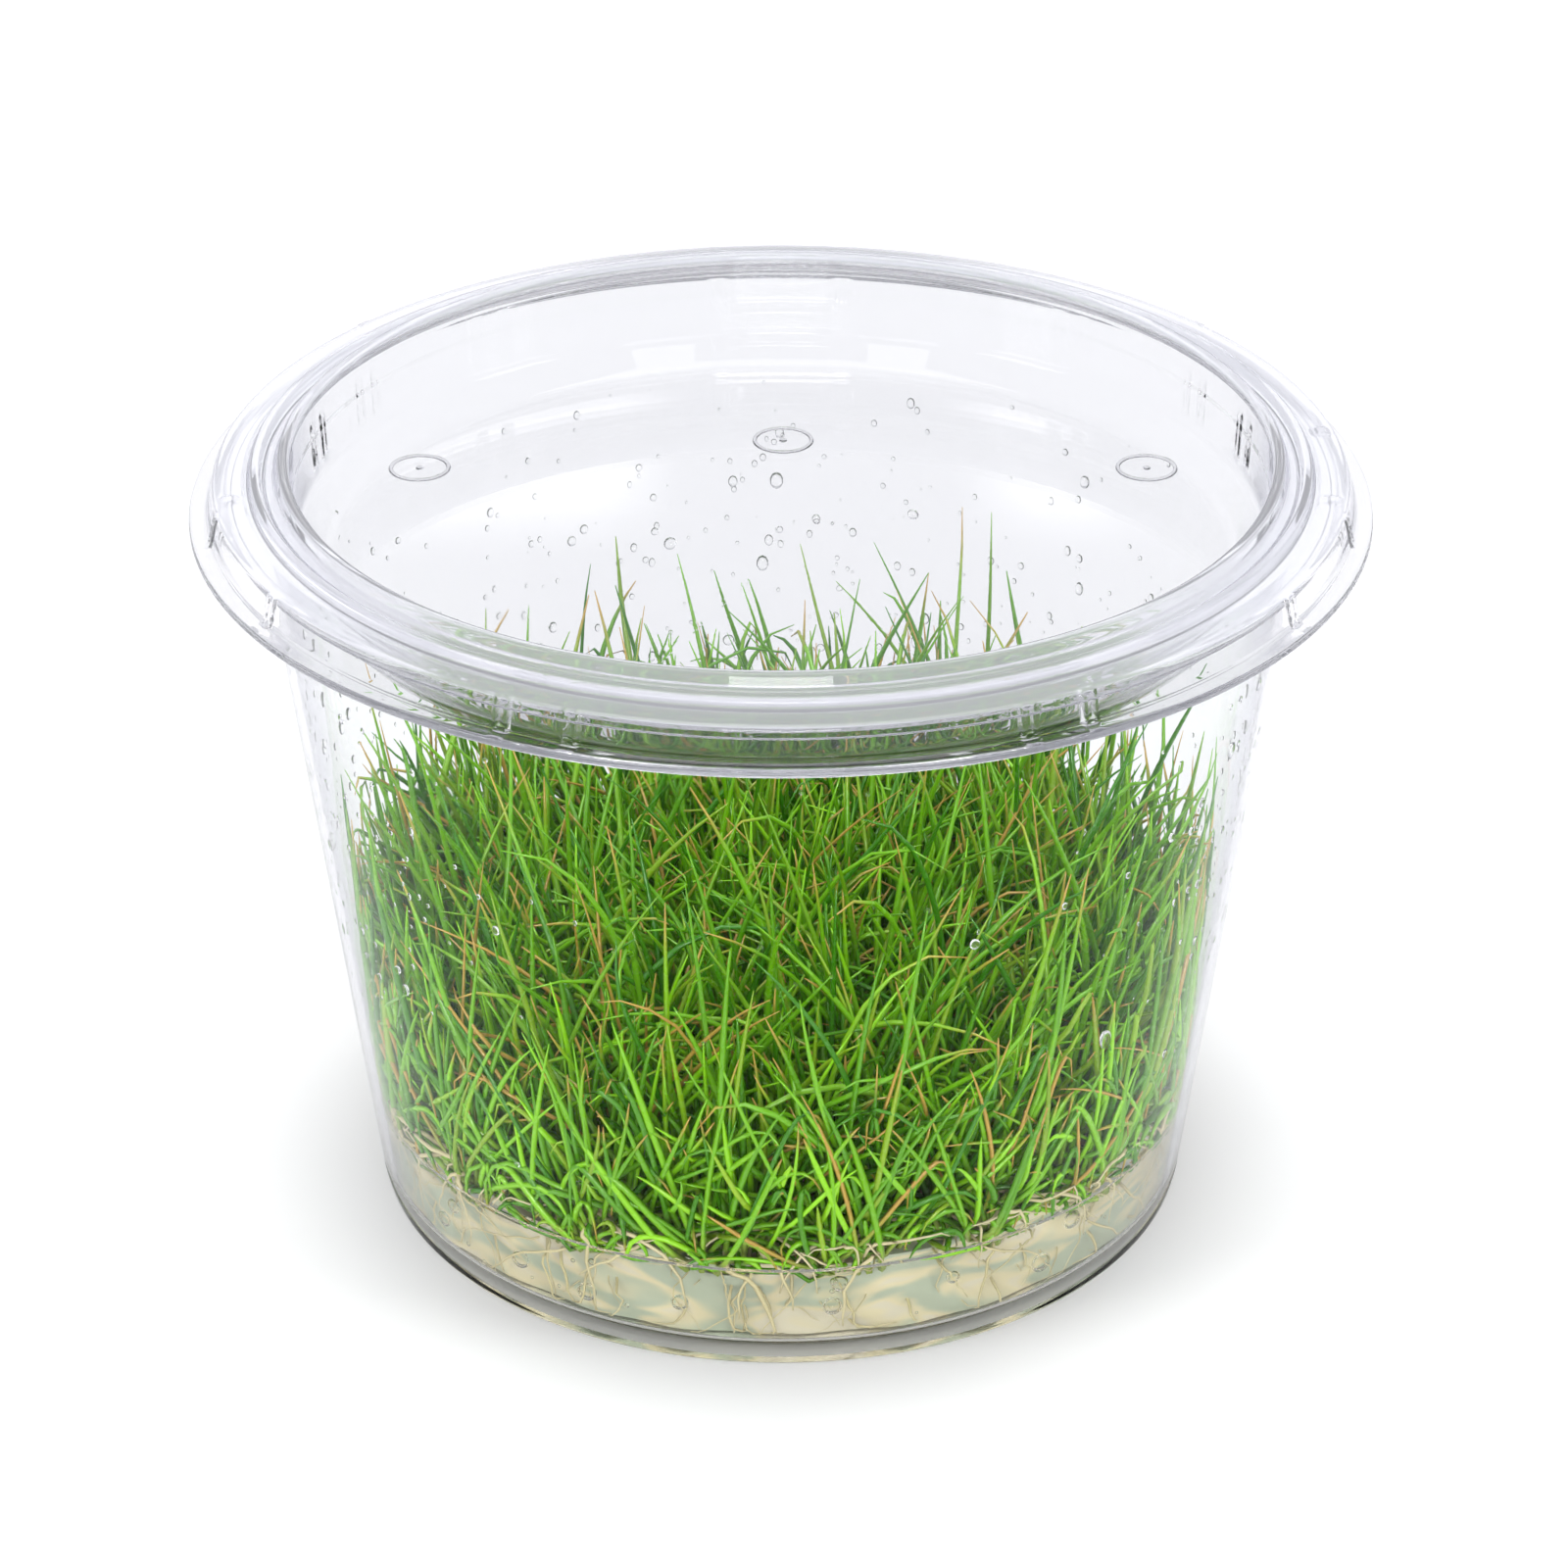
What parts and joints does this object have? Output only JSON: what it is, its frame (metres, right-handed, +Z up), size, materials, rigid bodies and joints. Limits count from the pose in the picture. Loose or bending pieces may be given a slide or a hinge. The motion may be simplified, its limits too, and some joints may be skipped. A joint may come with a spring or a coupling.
{
  "type": "small spikerush in a tissue culture cup",
  "caption": "Clear tapered culture cup with a press-fit sunk lid, holding a layer of nutrient gel and a dense mat of thread-thin green spikerush leaves.",
  "frame": {"origin": "middle of the cup's foot ring, at the height of the surface it stands on", "axes": "+Z up along the cup's axis; -Y to the front as pictured; +X to the right"},
  "size_m": [0.11, 0.11, 0.076],
  "materials": {
    "cup_plastic": "gloss",
    "lid_plastic": "gloss",
    "gel": "satin",
    "leaf": "satin"
  },
  "bodies": {
    "root": {"cup": "cup_plastic", "lid": "lid_plastic", "gel": "gel", "tuft_01": "leaf", "tuft_02": "leaf", "tuft_03": "leaf", "tuft_04": "leaf", "tuft_05": "leaf", "tuft_06": "leaf", "tuft_07": "leaf", "tuft_08": "leaf", "tuft_09": "leaf", "tuft_10": "leaf", "tuft_11": "leaf", "tuft_12": "leaf", "tuft_13": "leaf", "tuft_14": "leaf", "tuft_15": "leaf", "tuft_16": "leaf", "tuft_17": "leaf", "tuft_18": "leaf", "tuft_19": "leaf", "tuft_20": "leaf", "tuft_21": "leaf", "tuft_22": "leaf", "tuft_23": "leaf", "tuft_24": "leaf", "tuft_25": "leaf", "tuft_26": "leaf", "tuft_27": "leaf", "tuft_28": "leaf", "tuft_29": "leaf", "tuft_30": "leaf", "tuft_31": "leaf", "tuft_32": "leaf", "tuft_33": "leaf", "tuft_34": "leaf", "tuft_35": "leaf", "tuft_36": "leaf", "tuft_37": "leaf"}
  },
  "joints": []
}
